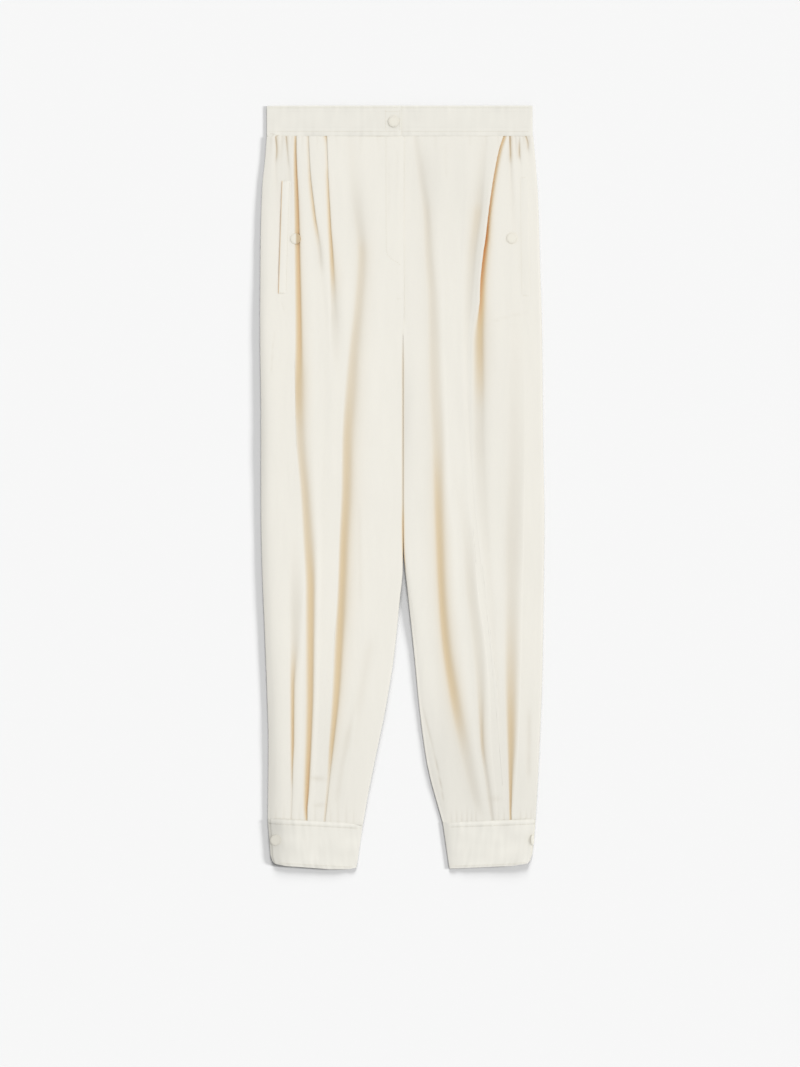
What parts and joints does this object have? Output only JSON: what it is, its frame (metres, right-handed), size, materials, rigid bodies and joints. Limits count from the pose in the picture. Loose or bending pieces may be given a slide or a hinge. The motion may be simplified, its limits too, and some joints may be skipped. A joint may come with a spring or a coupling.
{
  "type": "pleated trousers",
  "caption": "High-waisted full-length pleated trousers with tapered legs gathered into buttoned cuffs, shown laid flat on their back.",
  "frame": {"origin": "centre of the laid garment's footprint, on the surface it lies on", "axes": "+Y towards the waistband, +Z out of the front, up from the surface, +X towards the wearer's left leg"},
  "size_m": [0.3836, 1.031, 0.0137],
  "materials": {
    "ivory_twill": "matt fine twill with a faint sheen",
    "covered_button": "cloth-covered, smooth and slightly domed"
  },
  "bodies": {
    "root": {"waistband": "ivory_twill", "front_right": "ivory_twill", "front_left": "ivory_twill", "back_right": "ivory_twill", "back_left": "ivory_twill", "pocket_welt_right": "ivory_twill", "pocket_welt_left": "ivory_twill", "cuff_right": "ivory_twill", "cuff_left": "ivory_twill", "waist_button": "covered_button", "pocket_button_right": "covered_button", "pocket_button_left": "covered_button", "cuff_button_right": "covered_button", "cuff_button_left": "covered_button"}
  },
  "joints": []
}
